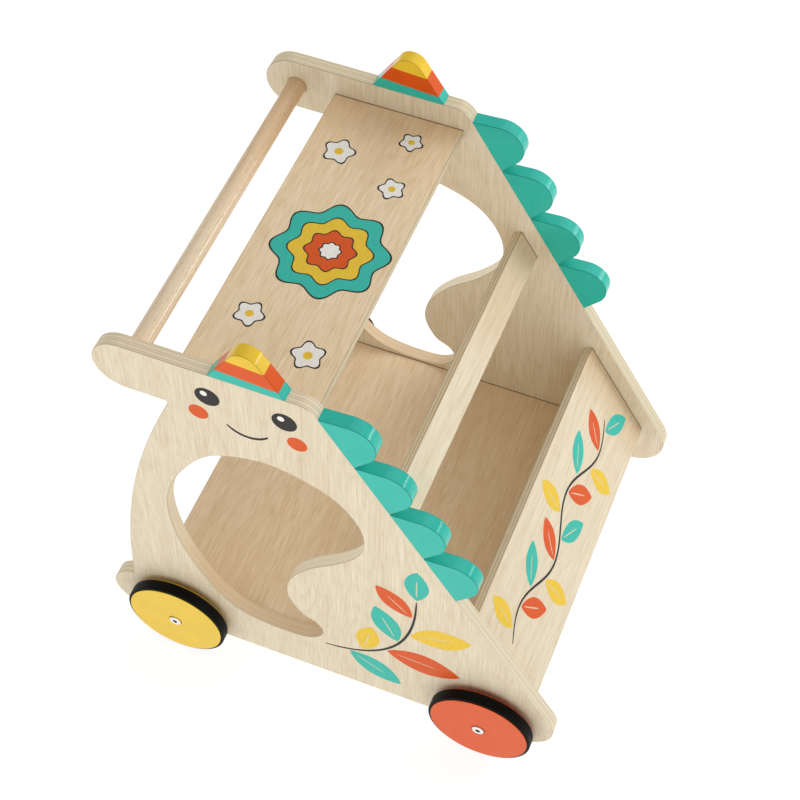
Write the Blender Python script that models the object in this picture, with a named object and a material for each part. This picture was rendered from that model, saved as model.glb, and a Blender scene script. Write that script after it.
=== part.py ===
"""A baby push walker wagon in plywood.

Two cut-out side panels stand on edge. A round handle bar, a tray, a cargo floor, a cross slat and a sloped
front board run between them on hidden dowel pins. Painted scales line each sloped edge and a painted horn
stands on each top edge. Four plywood wheels with rubber tyres turn on bolts that screw into tee nuts.

Metres, +Z up, +X the way the walker is pushed, +Y to its left. The origin is on the ground under the middle
of the walker. Inside the script, x counts from the rear axle and z from the panels' bottom edge.
"""

import math

import bmesh
import bpy

MM = 0.001

# Fits
GLUE_GAP = 0.3 * MM
RUNNING_GAP = 0.3 * MM

# Side panels
PANEL_THICKNESS = 12 * MM
INNER_WIDTH = 300 * MM  # between the two panels
PANEL_HEIGHT = 391 * MM  # bottom edge to top edge
WHEELBASE = 281 * MM
SLOPE_ANGLE = math.radians(30.4)  # front edge, measured from upright
CREST_RADIUS = 16 * MM  # top edge into front edge
NOSE_RADIUS = 32 * MM  # front edge into bottom edge
NOSE_REACH = 60 * MM  # front axle to the nose's foremost point
FOOT_RADIUS = 27 * MM
FOOT_REACH = 66 * MM  # rear axle to the foot's rearmost point
FOOT_STEP = 22 * MM  # foot's rearmost point to where the rear edge rises
ARM_DEPTH = 50 * MM
ARM_REACH = 39 * MM  # rear axle to the arm's rearmost point
ARM_CORNER = 21 * MM  # rear axle forward to the corner under the arm
REAR_EDGE_BULGE = 15 * MM
CORNER_RADIUS = 3 * MM  # the cutter's radius in the two inside corners

# Cut-out in each panel, as the wood left around it
CUTOUT_TOP_RAIL = 91 * MM
CUTOUT_ABOVE_FLOOR = 3 * MM  # the cargo floor's top up to the cut-out's lowest point
CUTOUT_REAR_SET = 3 * MM  # rear axle forward to the cut-out's rearmost point
CUTOUT_FRONT_STILE = 45 * MM  # square to the front edge, at the cut-out's foremost point
# Points round the cut-out, as shares of its length and height: over the top, down the rear side, along
# the foot to the small toe, round the lobe that reaches in from the front, and back up
CUTOUT_SHAPE = (
    (0.51, 1.00), (0.27, 0.94), (0.11, 0.80), (0.02, 0.65), (0.00, 0.52), (0.03, 0.37),
    (0.10, 0.23), (0.20, 0.105), (0.31, 0.03), (0.46, 0.00), (0.64, 0.00), (0.73, 0.03),
    (0.765, 0.08), (0.735, 0.125), (0.65, 0.165), (0.59, 0.26), (0.615, 0.365), (0.72, 0.47),
    (0.87, 0.565), (0.97, 0.655), (1.00, 0.745), (0.965, 0.84), (0.86, 0.93), (0.69, 0.985),
)
CUTOUT_FOREMOST = 0.745  # share of its height where the cut-out reaches furthest forward

# Boards between the panels
BOARD_THICKNESS = 8 * MM
TRAY_DEPTH = 112 * MM
TRAY_DROP = 22 * MM  # tray's top below the panels' top edge
TRAY_SET = 1.5 * MM  # corner under the arm forward to the tray's rear edge
FLOOR_ABOVE_NUTS = 3 * MM  # tee nuts' flanges up to the floor's underside
FLOOR_REAR = 29 * MM  # rear axle back to the floor's rear edge
FLOOR_LIP = 2 * MM  # floor's front edge beyond the front board's lower corner
FRONT_BOARD_HEIGHT = 111 * MM  # along the slope
SLAT_HEIGHT = 31 * MM  # along the slope
SLAT_FROM_CREST = 132 * MM  # along the slope, from where the top and front edges would meet
FRONT_INSET = 15 * MM  # the slat's and front board's faces behind the panels' front edge

# Handle bar
HANDLE_RADIUS = 8.1 * MM
HANDLE_SET = 27.5 * MM  # the arm's rearmost point forward to the bar's axis
HANDLE_SOCKET = 8 * MM  # how deep the bar sits in each panel

# Dowel pins
PIN_RADIUS = 2.5 * MM
PIN_IN_PANEL = 8 * MM
PIN_IN_BOARD = 14 * MM
PIN_EDGE = 18 * MM  # board's edge to the nearest pin
SLAT_PIN_EDGE = 8 * MM

# Scales and horn
SCALE_COUNT = 4
SCALE_START = 11.7 * MM  # along the slope, from where the top and front edges would meet
SCALE_PITCH = 54 * MM
SCALE_REACH = 45 * MM  # level, from a scale's upper root to its tip
SCALE_RISE = 1.7 * MM  # the tip's top above the upper root
SCALE_ROUND = 0.436  # the tip's radius, as a share of the rise from one scale to the next
HORN_BASE = 61.6 * MM
HORN_HEIGHT = 36.2 * MM
HORN_TIP_RADIUS = 12.5 * MM
HORN_SET = 49 * MM  # where the top and front edges would meet, back to the horn's middle

# Wheels. Along an axle, y counts outwards from the panel's outer face
AXLE_HEIGHT = 25 * MM  # above the panels' bottom edge
STANDOFF = 4 * MM  # panel to wheel
DISC_THICKNESS = 12 * MM
TYRE_RADIUS = 45.5 * MM
TYRE_DEPTH = 4 * MM  # through the rubber, from its seat to its tread
TYRE_FRONT_SET = 0.8 * MM  # disc's face back to the tyre
TYRE_OVER_FACE = 2.5 * MM  # the tread beyond the painted face's edge
FLANGE_THICKNESS = 1.4 * MM  # the disc's rear rim, behind the tyre
TYRE_OVER_FLANGE = 0.9 * MM
BOLT_RADIUS = 3 * MM
BOLT_IN_PANEL = 11 * MM
BOLT_HEAD_RADIUS = 5.3 * MM
BOLT_HEAD_HEIGHT = 3.1 * MM
BOLT_HEAD_PROUD = 1.4 * MM  # beyond the disc's face
SOCKET_WIDTH = 4 * MM  # across flats
SOCKET_DEPTH = 1.8 * MM
SPACER_RADIUS = 8 * MM
NUT_BARREL_RADIUS = 4.4 * MM
NUT_BARREL_LENGTH = 9.5 * MM
NUT_FLANGE_RADIUS = 9 * MM
NUT_FLANGE_THICKNESS = 1.5 * MM

# Facets
CURVE_STEPS = 4
ROUND_SIDES = 32
PIN_SIDES = 10
CUTTER_OVERRUN = 1 * MM

# Sizes and places that follow
FLOOR_HEIGHT = AXLE_HEIGHT + NUT_FLANGE_RADIUS + FLOOR_ABOVE_NUTS + BOARD_THICKNESS  # the floor's top
CUTOUT_BOTTOM = FLOOR_HEIGHT + CUTOUT_ABOVE_FLOOR
SCALE_RADIUS = SCALE_ROUND * SCALE_PITCH * math.cos(SLOPE_ANGLE)
DISC_RADIUS = TYRE_RADIUS - TYRE_OVER_FACE
FLANGE_RADIUS = TYRE_RADIUS - TYRE_OVER_FLANGE
TYRE_WIDTH = DISC_THICKNESS - TYRE_FRONT_SET - FLANGE_THICKNESS
FOOT_X = FOOT_RADIUS - FOOT_REACH
NOSE_X = WHEELBASE + NOSE_REACH - NOSE_RADIUS
SLOPE_OUT = (math.cos(SLOPE_ANGLE), math.sin(SLOPE_ANGLE))  # square to the front edge, outwards
SLOPE_DOWN = (math.sin(SLOPE_ANGLE), -math.cos(SLOPE_ANGLE))  # along the front edge
CREST = (
    NOSE_X + (NOSE_RADIUS - (PANEL_HEIGHT - NOSE_RADIUS) * SLOPE_OUT[1]) / SLOPE_OUT[0],
    PANEL_HEIGHT,
)  # where the top edge and the front edge would meet
HANDLE = (HANDLE_SET - ARM_REACH, PANEL_HEIGHT - ARM_DEPTH / 2)
AXLES = {"rear": 0.0, "front": WHEELBASE}
SIDES = {"left": 1, "right": -1}
MIDDLE = (WHEELBASE + NOSE_REACH - FOOT_REACH) / 2


def on_slope(down, inset):
    """The point that far down the front edge from the crest and that far behind the edge."""
    return (
        CREST[0] + down * SLOPE_DOWN[0] - inset * SLOPE_OUT[0],
        CREST[1] + down * SLOPE_DOWN[1] - inset * SLOPE_OUT[1],
    )


def arc(centre, radius, start, end, steps):
    """Points on an arc from one angle to another, in radians, both ends included."""
    angles = [start + (end - start) * i / steps for i in range(steps + 1)]
    return [(centre[0] + radius * math.cos(a), centre[1] + radius * math.sin(a)) for a in angles]


def bowed(start, end, bulge, steps):
    """Points from start to end on the arc that bulges to the right of the way by that much."""
    half = math.dist(start, end) / 2
    radius = (half**2 + bulge**2) / (2 * bulge)
    along = ((end[0] - start[0]) / (2 * half), (end[1] - start[1]) / (2 * half))
    right = (along[1], -along[0])
    centre = (
        start[0] + half * along[0] - (radius - bulge) * right[0],
        start[1] + half * along[1] - (radius - bulge) * right[1],
    )
    middle = math.atan2(right[1], right[0])
    spread = math.asin(half / radius)
    return arc(centre, radius, middle - spread, middle + spread, steps)


def rounded(before, corner, after, radius, steps):
    """Points on the arc that rounds the corner between two straight runs."""
    ways = []
    for point in (before, after):
        away = math.dist(corner, point)
        ways.append(((point[0] - corner[0]) / away, (point[1] - corner[1]) / away))
    opening = math.acos(ways[0][0] * ways[1][0] + ways[0][1] * ways[1][1])
    bisector = (ways[0][0] + ways[1][0], ways[0][1] + ways[1][1])
    out = radius / math.sin(opening / 2) / math.hypot(*bisector)
    centre = (corner[0] + bisector[0] * out, corner[1] + bisector[1] * out)
    touch = radius / math.tan(opening / 2)
    ends = [(corner[0] + way[0] * touch, corner[1] + way[1] * touch) for way in ways]
    angles = [math.atan2(end[1] - centre[1], end[0] - centre[0]) for end in ends]
    turn = (angles[1] - angles[0] + math.pi) % (2 * math.pi) - math.pi
    return arc(centre, radius, angles[0], angles[0] + turn, steps)


def smooth_loop(anchors, steps):
    """A closed curve through the anchors: each span is a cubic whose slopes come from its neighbours."""
    points = []
    for i in range(len(anchors)):
        near = [anchors[(i + k) % len(anchors)] for k in (-1, 0, 1, 2)]
        for step in range(steps):
            t = step / steps
            weights = (
                (-t + 2 * t**2 - t**3) / 2,
                (2 - 5 * t**2 + 3 * t**3) / 2,
                (t + 4 * t**2 - 3 * t**3) / 2,
                (t**3 - t**2) / 2,
            )
            points.append(tuple(sum(w * p[k] for w, p in zip(weights, near)) for k in (0, 1)))
    return points


def tangent_point(outside, centre, radius, turn):
    """Where the line from a point touches a circle: left of the way for turn 1, right of it for -1."""
    way = math.atan2(centre[1] - outside[1], centre[0] - outside[0])
    lean = math.asin(radius / math.dist(outside, centre))
    length = math.sqrt(math.dist(outside, centre) ** 2 - radius**2)
    way += turn * lean
    return (outside[0] + length * math.cos(way), outside[1] + length * math.sin(way))


def panel_outline():
    """The side panel's edge: bottom, nose, slope, crest, top, arm, rear edge and foot, anticlockwise."""
    foot = (FOOT_X, FOOT_RADIUS)
    arm_radius = ARM_DEPTH / 2
    arm = (arm_radius - ARM_REACH, PANEL_HEIGHT - arm_radius)
    crest_z = PANEL_HEIGHT - CREST_RADIUS
    crest_x = CREST[0] - CREST_RADIUS * (1 - SLOPE_OUT[1]) / SLOPE_OUT[0]
    step_x = FOOT_STEP - FOOT_REACH
    step_angle = math.acos((step_x - FOOT_X) / FOOT_RADIUS)
    corner = (ARM_CORNER, PANEL_HEIGHT - ARM_DEPTH)
    step = (step_x, FOOT_RADIUS + FOOT_RADIUS * math.sin(step_angle))
    rear = bowed(corner, step, REAR_EDGE_BULGE, 4 * CURVE_STEPS)
    foot_arc = arc(foot, FOOT_RADIUS, step_angle, 1.5 * math.pi, 4 * CURVE_STEPS)
    nose_arc = arc((NOSE_X, NOSE_RADIUS), NOSE_RADIUS, -math.pi / 2, SLOPE_ANGLE, 4 * CURVE_STEPS)
    crest_arc = arc((crest_x, crest_z), CREST_RADIUS, SLOPE_ANGLE, math.pi / 2, 2 * CURVE_STEPS)
    arm_arc = arc(arm, arm_radius, math.pi / 2, 1.5 * math.pi, 5 * CURVE_STEPS)
    under_arm = rounded(arm_arc[-1], corner, rear[1], CORNER_RADIUS, CURVE_STEPS)
    on_foot = rounded(rear[-2], step, foot_arc[1], CORNER_RADIUS, CURVE_STEPS)
    return nose_arc + crest_arc + arm_arc + under_arm + rear[1:-1] + on_foot + foot_arc[1:]


def cutout_outline():
    """The hole in the side panel, placed by the wood left around it."""
    height = PANEL_HEIGHT - CUTOUT_TOP_RAIL - CUTOUT_BOTTOM
    foremost_z = CUTOUT_BOTTOM + CUTOUT_FOREMOST * height
    slope_x = CREST[0] + (CREST[1] - foremost_z) * math.tan(SLOPE_ANGLE)
    length = slope_x - CUTOUT_FRONT_STILE / SLOPE_OUT[0] - CUTOUT_REAR_SET
    anchors = [(CUTOUT_REAR_SET + u * length, CUTOUT_BOTTOM + w * height) for u, w in CUTOUT_SHAPE]
    return smooth_loop(anchors, CURVE_STEPS)


def scale_outline(index):
    """One scale: its top and its underside run straight from the roots into a round tip."""
    upper = on_slope(SCALE_START + index * SCALE_PITCH, -GLUE_GAP)
    lower = on_slope(SCALE_START + (index + 1) * SCALE_PITCH - GLUE_GAP, -GLUE_GAP)
    centre = (upper[0] + SCALE_REACH - SCALE_RADIUS, upper[1] + SCALE_RISE - SCALE_RADIUS)
    touches = (tangent_point(lower, centre, SCALE_RADIUS, -1), tangent_point(upper, centre, SCALE_RADIUS, 1))
    start, end = (math.atan2(touch[1] - centre[1], touch[0] - centre[0]) for touch in touches)
    return [upper, lower, *arc(centre, SCALE_RADIUS, start, end, 3 * CURVE_STEPS)]


def horn_outline():
    """The horn: a triangle whose sides run up into a round tip."""
    middle = CREST[0] - HORN_SET
    base = PANEL_HEIGHT + GLUE_GAP
    centre = (middle, base + HORN_HEIGHT - HORN_TIP_RADIUS)
    ends = [(middle + side * HORN_BASE / 2, base) for side in (-1, 1)]
    touch = tangent_point(ends[1], centre, HORN_TIP_RADIUS, -1)
    start = math.atan2(touch[1] - centre[1], touch[0] - centre[0])
    return [*ends, *arc(centre, HORN_TIP_RADIUS, start, math.pi - start, 3 * CURVE_STEPS)]


def board_outlines():
    """Each board's section in the panel's plane, as four corners, and the places of its pins."""
    tray_x = ARM_CORNER + TRAY_SET
    tray_z = PANEL_HEIGHT - TRAY_DROP
    heel_z = FLOOR_HEIGHT + GLUE_GAP
    depth = FRONT_INSET + BOARD_THICKNESS
    heel = (CREST[1] - heel_z - depth * SLOPE_OUT[1]) / -SLOPE_DOWN[1]
    heel_x = on_slope(heel, depth)[0]
    half = BOARD_THICKNESS / 2
    level = {
        "tray": (tray_x, tray_x + TRAY_DEPTH, tray_z, PIN_EDGE),
        "floor": (-FLOOR_REAR, heel_x + FLOOR_LIP, FLOOR_HEIGHT, PIN_EDGE),
    }
    sloped = {
        "slat": (SLAT_FROM_CREST, SLAT_FROM_CREST + SLAT_HEIGHT, SLAT_PIN_EDGE),
        "front": (heel - FRONT_BOARD_HEIGHT, heel, PIN_EDGE),
    }
    boards = {}
    for name, (rear, front, top, edge) in level.items():
        bottom = top - BOARD_THICKNESS
        corners = [(rear, bottom), (front, bottom), (front, top), (rear, top)]
        boards[name] = (corners, [(rear + edge, top - half), (front - edge, top - half)])
    for name, (upper, lower, edge) in sloped.items():
        corners = [on_slope(lower, depth), on_slope(lower, FRONT_INSET)]
        corners += [on_slope(upper, FRONT_INSET), on_slope(upper, depth)]
        pins = [on_slope(down, FRONT_INSET + half) for down in (upper + edge, lower - edge)]
        boards[name] = (corners, pins)
    return boards


def paint(name, colour, roughness, metallic=0.0):
    """A plain finish: colour as sRGB, turned to linear."""
    material = bpy.data.materials.new(name)
    material.use_nodes = True
    shader = material.node_tree.nodes["Principled BSDF"]
    linear = [((c / 255 + 0.055) / 1.055) ** 2.4 if c > 10 else c / 255 / 12.92 for c in colour]
    shader.inputs["Base Color"].default_value = (*linear, 1)
    shader.inputs["Roughness"].default_value = roughness
    shader.inputs["Metallic"].default_value = metallic
    material.diffuse_color = (*linear, 1)
    return material


def add_object(name, shape, parent, material=None):
    """A named piece under its parent, facing outwards. Without a material it is only a cutter."""
    bmesh.ops.recalc_face_normals(shape, faces=shape.faces[:])
    if shape.calc_volume(signed=True) < 0:
        bmesh.ops.reverse_faces(shape, faces=shape.faces[:])
    mesh = bpy.data.meshes.new(name)
    shape.to_mesh(mesh)
    shape.free()
    obj = bpy.data.objects.new(name, mesh)
    bpy.context.scene.collection.objects.link(obj)
    obj.parent = parent
    if material:
        mesh.materials.append(material)
        mesh.shade_smooth()
        mesh.set_sharp_from_angle(angle=math.radians(35))
    else:
        obj.hide_render = True
        obj.display_type = "WIRE"
    return obj


def plate(name, outline, inner, outer, parent, material, holes=()):
    """A flat piece: the outline in the XZ plane, less the holes, carried along Y from inner to outer."""
    bm = bmesh.new()
    edges = []
    for loop in (outline, *holes):
        corners = [bm.verts.new((x, inner, z)) for x, z in loop]
        edges += [bm.edges.new(pair) for pair in zip(corners, corners[1:] + corners[:1])]
    bmesh.ops.triangle_fill(bm, use_beauty=True, use_dissolve=False, edges=edges)
    grown = bmesh.ops.extrude_face_region(bm, geom=bm.faces[:])["geom"]
    moved = [part for part in grown if isinstance(part, bmesh.types.BMVert)]
    bmesh.ops.translate(bm, verts=moved, vec=(0, outer - inner, 0))
    return add_object(name, bm, parent, material)


def turned(name, profile, sides, parent, material):
    """A round piece about Y: the profile, as (radius, y) points, turned once round. It is closed where it
    starts and ends on the axis, and otherwise its last point joins its first."""
    bm = bmesh.new()
    points = [bm.verts.new((radius, y, 0)) for radius, y in profile]
    runs = list(zip(points, points[1:]))
    if profile[0][0] > 0:
        runs.append((points[-1], points[0]))
    edges = [bm.edges.new(run) for run in runs]
    bmesh.ops.spin(bm, geom=points + edges, axis=(0, 1, 0), cent=(0, 0, 0), angle=2 * math.pi, steps=sides)
    bmesh.ops.remove_doubles(bm, verts=bm.verts[:], dist=0.001 * MM)
    return add_object(name, bm, parent, material)


def rods(name, places, radius, spans, sides, parent, material=None):
    """Straight round rods along Y in one object: one at each place, over each span of Y."""
    bm = bmesh.new()
    for x, z in places:
        for low, high in spans:
            ring = [bm.verts.new((px, low, pz)) for px, pz in arc((x, z), radius, 0, 2 * math.pi, sides)[:-1]]
            face = bm.faces.new(ring)
            grown = bmesh.ops.extrude_face_region(bm, geom=[face])["geom"]
            moved = [part for part in grown if isinstance(part, bmesh.types.BMVert)]
            bmesh.ops.translate(bm, verts=moved, vec=(0, high - low, 0))
    return add_object(name, bm, parent, material)


def cut(piece, cutter):
    """Takes the cutter's shape out of the piece."""
    boolean = piece.modifiers.new(cutter.name, "BOOLEAN")
    boolean.operation = "DIFFERENCE"
    boolean.solver = "EXACT"
    boolean.object = cutter


def between(side, first, second):
    """Two distances from the middle, on one side of the walker, as a rising span of Y."""
    return tuple(sorted((side * first, side * second)))


def build_panels(parent, boards, wood):
    """Both side panels, with their sockets for the handle bar and the pins, and holes for the tee nuts."""
    half = INNER_WIDTH / 2
    nut_holes = [
        arc((x, AXLE_HEIGHT), NUT_BARREL_RADIUS + GLUE_GAP, 0, 2 * math.pi, ROUND_SIDES // 2)[:-1]
        for x in AXLES.values()
    ]
    pins = [place for _, places in boards.values() for place in places]
    for label, side in SIDES.items():
        holes = [cutout_outline(), *nut_holes]
        faces = between(side, half, half + PANEL_THICKNESS)
        panel = plate(f"side_panel_{label}", panel_outline(), *faces, parent, wood, holes)
        pin_span = between(side, half - CUTTER_OVERRUN, half + PIN_IN_PANEL)
        cut(panel, rods(f"pin_cutter_{label}", pins, PIN_RADIUS + GLUE_GAP, [pin_span], PIN_SIDES, parent))
        bar_span = between(side, half - CUTTER_OVERRUN, half + HANDLE_SOCKET)
        socket = HANDLE_RADIUS + GLUE_GAP
        cut(panel, rods(f"bar_cutter_{label}", [HANDLE], socket, [bar_span], ROUND_SIDES, parent))


def build_boards(parent, boards, wood, pin_wood):
    """The boards between the panels and the dowel pins in their ends."""
    end = INNER_WIDTH / 2 - GLUE_GAP
    names = {"tray": "tray_board", "floor": "floor_board", "slat": "cross_slat", "front": "front_board"}
    for key, (corners, pins) in boards.items():
        board = plate(names[key], corners, -end, end, parent, wood)
        holes = [between(side, end + CUTTER_OVERRUN, end - PIN_IN_BOARD) for side in SIDES.values()]
        cut(board, rods(f"{key}_pin_cutter", pins, PIN_RADIUS + GLUE_GAP, holes, PIN_SIDES, parent))
        for label, side in SIDES.items():
            span = between(side, end - PIN_IN_BOARD + GLUE_GAP, INNER_WIDTH / 2 + PIN_IN_PANEL - GLUE_GAP)
            for number, place in enumerate(pins, 1):
                rods(f"{key}_pin_{label}_{number}", [place], PIN_RADIUS, [span], PIN_SIDES, parent, pin_wood)


def build_handle(parent, wood):
    reach = INNER_WIDTH / 2 + HANDLE_SOCKET - GLUE_GAP
    rods("handle_bar", [HANDLE], HANDLE_RADIUS, [(-reach, reach)], ROUND_SIDES, parent, wood)


def build_trim(parent, scale_paint, horn_paint):
    """The scales on both sloped edges and the horns on both top edges."""
    half = INNER_WIDTH / 2
    for label, side in SIDES.items():
        faces = between(side, half, half + PANEL_THICKNESS)
        for index in range(SCALE_COUNT):
            plate(f"mane_scale_{label}_{index + 1}", scale_outline(index), *faces, parent, scale_paint)
        plate(f"horn_{label}", horn_outline(), *faces, parent, horn_paint)


def disc_profile():
    """The wheel's section: bore, seat for the bolt head, face, tyre groove and rear flange."""
    rear = STANDOFF
    face = rear + DISC_THICKNESS
    bore = BOLT_RADIUS + RUNNING_GAP
    seat_radius = BOLT_HEAD_RADIUS + 2 * RUNNING_GAP
    seat = face + BOLT_HEAD_PROUD - BOLT_HEAD_HEIGHT - RUNNING_GAP
    groove = TYRE_RADIUS - TYRE_DEPTH - GLUE_GAP
    groove_front = face - TYRE_FRONT_SET + GLUE_GAP
    groove_rear = face - TYRE_FRONT_SET - TYRE_WIDTH - GLUE_GAP
    soft = 0.75 * (face - groove_front)
    edge = arc((DISC_RADIUS - soft, face - soft), soft, math.pi / 2, 0, CURVE_STEPS // 2)
    return [
        (bore, rear), (bore, seat), (seat_radius, seat), (seat_radius, face), *edge,
        (DISC_RADIUS, groove_front), (groove, groove_front), (groove, groove_rear),
        (FLANGE_RADIUS, groove_rear), (FLANGE_RADIUS, rear),
    ]


def tyre_profile():
    """The tyre's section: a flat band with rounded shoulders."""
    front = STANDOFF + DISC_THICKNESS - TYRE_FRONT_SET
    rear = front - TYRE_WIDTH
    seat = TYRE_RADIUS - TYRE_DEPTH
    shoulder = TYRE_DEPTH / 3
    inner = TYRE_RADIUS - shoulder
    return [
        (seat, rear), (seat, front),
        *arc((inner, front - shoulder), shoulder, math.pi / 2, 0, CURVE_STEPS // 2),
        *arc((inner, rear + shoulder), shoulder, 0, -math.pi / 2, CURVE_STEPS // 2),
    ]


def bolt_profile():
    """The axle bolt's section: a plain shank and a low domed head, from the shank's end to the head's top."""
    top = STANDOFF + DISC_THICKNESS + BOLT_HEAD_PROUD
    under = top - BOLT_HEAD_HEIGHT
    shoulder = BOLT_HEAD_HEIGHT / 2
    dome = arc((BOLT_HEAD_RADIUS - shoulder, top - shoulder), shoulder, 0, math.pi / 2, CURVE_STEPS // 2)
    shank = [(0, -BOLT_IN_PANEL), (BOLT_RADIUS, -BOLT_IN_PANEL), (BOLT_RADIUS, under)]
    return [*shank, (BOLT_HEAD_RADIUS, under), *dome, (0, top)]


def nut_profile():
    """The tee nut's section: a barrel in the panel and a flange on its inner face."""
    seat = -PANEL_THICKNESS - GLUE_GAP
    back = seat - NUT_FLANGE_THICKNESS
    mouth = -PANEL_THICKNESS + NUT_BARREL_LENGTH
    bore = BOLT_RADIUS + GLUE_GAP
    return [
        (bore, back), (bore, mouth), (NUT_BARREL_RADIUS, mouth), (NUT_BARREL_RADIUS, seat),
        (NUT_FLANGE_RADIUS, seat), (NUT_FLANGE_RADIUS, back),
    ]


def build_wheel(where, axle, paint_name, finishes):
    """One wheel with its bolt, spacer and tee nut, on the axle's empty."""
    turned(f"wheel_disc_{where}", disc_profile(), ROUND_SIDES, axle, finishes[paint_name])
    turned(f"tyre_{where}", tyre_profile(), ROUND_SIDES, axle, finishes["rubber"])
    bolt = turned(f"axle_bolt_{where}", bolt_profile(), ROUND_SIDES // 2, axle, finishes["steel"])
    top = STANDOFF + DISC_THICKNESS + BOLT_HEAD_PROUD
    corners = SOCKET_WIDTH / math.sqrt(3)
    span = (top - SOCKET_DEPTH, top + CUTTER_OVERRUN)
    cut(bolt, rods(f"socket_cutter_{where}", [(0, 0)], corners, [span], 6, axle))
    bore = BOLT_RADIUS + RUNNING_GAP
    near, far = GLUE_GAP, STANDOFF - RUNNING_GAP
    ring = [(bore, near), (bore, far), (SPACER_RADIUS, far), (SPACER_RADIUS, near)]
    turned(f"axle_spacer_{where}", ring, ROUND_SIDES // 2, axle, finishes["spacer"])
    turned(f"tee_nut_{where}", nut_profile(), ROUND_SIDES // 2, axle, finishes["zinc"])


def build_wheels(parent, finishes):
    """Four wheels, each on an empty that lies on its axle at the panel's outer face."""
    outer = INNER_WIDTH / 2 + PANEL_THICKNESS
    paints = {"rear": "yellow", "front": "red"}
    for end, x in AXLES.items():
        for label, side in SIDES.items():
            where = f"{end}_{label}"
            axle = bpy.data.objects.new(f"axle_{where}", None)
            bpy.context.scene.collection.objects.link(axle)
            axle.parent = parent
            axle.location = (x, side * outer, AXLE_HEIGHT)
            axle.rotation_euler = (0, 0, 0 if side > 0 else math.pi)
            build_wheel(where, axle, paints[end], finishes)


def main():
    for obj in list(bpy.data.objects):
        bpy.data.objects.remove(obj)
    finishes = {
        "panel": paint("birch plywood, panels", (232, 217, 190), 0.55),
        "board": paint("birch plywood, boards", (214, 190, 155), 0.55),
        "pin": paint("beech dowel", (205, 170, 125), 0.6),
        "teal": paint("teal paint", (72, 188, 168), 0.4),
        "yellow": paint("yellow paint", (238, 203, 84), 0.4),
        "red": paint("red paint", (226, 108, 76), 0.4),
        "rubber": paint("black rubber", (24, 24, 22), 0.7),
        "steel": paint("plated steel", (215, 215, 212), 0.25, 1.0),
        "zinc": paint("zinc", (170, 172, 175), 0.4, 1.0),
        "spacer": paint("white nylon", (225, 225, 220), 0.5),
    }
    walker = bpy.data.objects.new("walker", None)
    bpy.context.scene.collection.objects.link(walker)
    walker.location = (-MIDDLE, 0, TYRE_RADIUS - AXLE_HEIGHT)
    boards = board_outlines()
    build_panels(walker, boards, finishes["panel"])
    build_boards(walker, boards, finishes["board"], finishes["pin"])
    build_handle(walker, finishes["panel"])
    build_trim(walker, finishes["teal"], finishes["red"])
    build_wheels(walker, finishes)


main()
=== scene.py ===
"""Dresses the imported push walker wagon.

The plywood panels and boards get eased edges, veneer grain and plies. The scales, horns and wheels get
satin paint, and the sides, the tray and the front board get flat prints. All is in metres in the CAD frame:
+X the way the walker is pushed, +Y to its left, +Z up.

Outlines are complex numbers in a piece's own plane: the real part runs across the grain and the imaginary
part along it. On a panel these are x from the rear axle and z from the panel's bottom edge.
"""

import math

import bpy
import numpy as np
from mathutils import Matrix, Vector
from mathutils.geometry import tessellate_polygon


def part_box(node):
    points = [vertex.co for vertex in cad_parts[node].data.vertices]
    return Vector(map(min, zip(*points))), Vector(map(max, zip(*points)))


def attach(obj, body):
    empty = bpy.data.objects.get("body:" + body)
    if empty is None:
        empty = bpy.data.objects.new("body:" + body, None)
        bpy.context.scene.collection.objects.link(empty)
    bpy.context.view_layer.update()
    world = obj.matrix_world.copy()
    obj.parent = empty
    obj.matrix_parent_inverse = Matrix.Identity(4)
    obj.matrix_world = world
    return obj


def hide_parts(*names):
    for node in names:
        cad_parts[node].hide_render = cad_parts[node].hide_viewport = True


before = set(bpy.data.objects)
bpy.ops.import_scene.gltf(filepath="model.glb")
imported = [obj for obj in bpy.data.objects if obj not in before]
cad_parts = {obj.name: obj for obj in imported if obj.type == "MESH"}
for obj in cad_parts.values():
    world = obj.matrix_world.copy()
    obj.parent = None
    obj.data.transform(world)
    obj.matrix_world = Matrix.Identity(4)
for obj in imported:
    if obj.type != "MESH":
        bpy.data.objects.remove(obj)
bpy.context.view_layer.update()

MM = 0.001
SIDES = {"left": 1, "right": -1}
X, Y, Z = np.eye(3)


# Places and sizes that the frame gives


def box(node_name):
    """A CAD node's lowest and highest corners, as the rows of an array."""
    return np.array(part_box(node_name))


PANEL_LOW, PANEL_HIGH = box("side_panel_left")
REAR_AXLE = box("tyre_rear_left").mean(axis=0)
FRONT_AXLE = box("tyre_front_left").mean(axis=0)
PANEL_ORIGIN = np.array([REAR_AXLE[0], 0, PANEL_LOW[2]])
INNER_FACE = PANEL_LOW[1]
OUTER_FACE = PANEL_HIGH[1]
PANEL_THICKNESS = OUTER_FACE - INNER_FACE
PANEL_HEIGHT = PANEL_HIGH[2] - PANEL_LOW[2]
AXLE_HEIGHT = REAR_AXLE[2] - PANEL_LOW[2]
WHEELBASE = FRONT_AXLE[0] - REAR_AXLE[0]
NOSE_REACH = PANEL_HIGH[0] - FRONT_AXLE[0]
FOOT_REACH = REAR_AXLE[0] - PANEL_LOW[0]
BOARD_THICKNESS = np.ptp(box("tray_board"), axis=0)[2]

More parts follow.
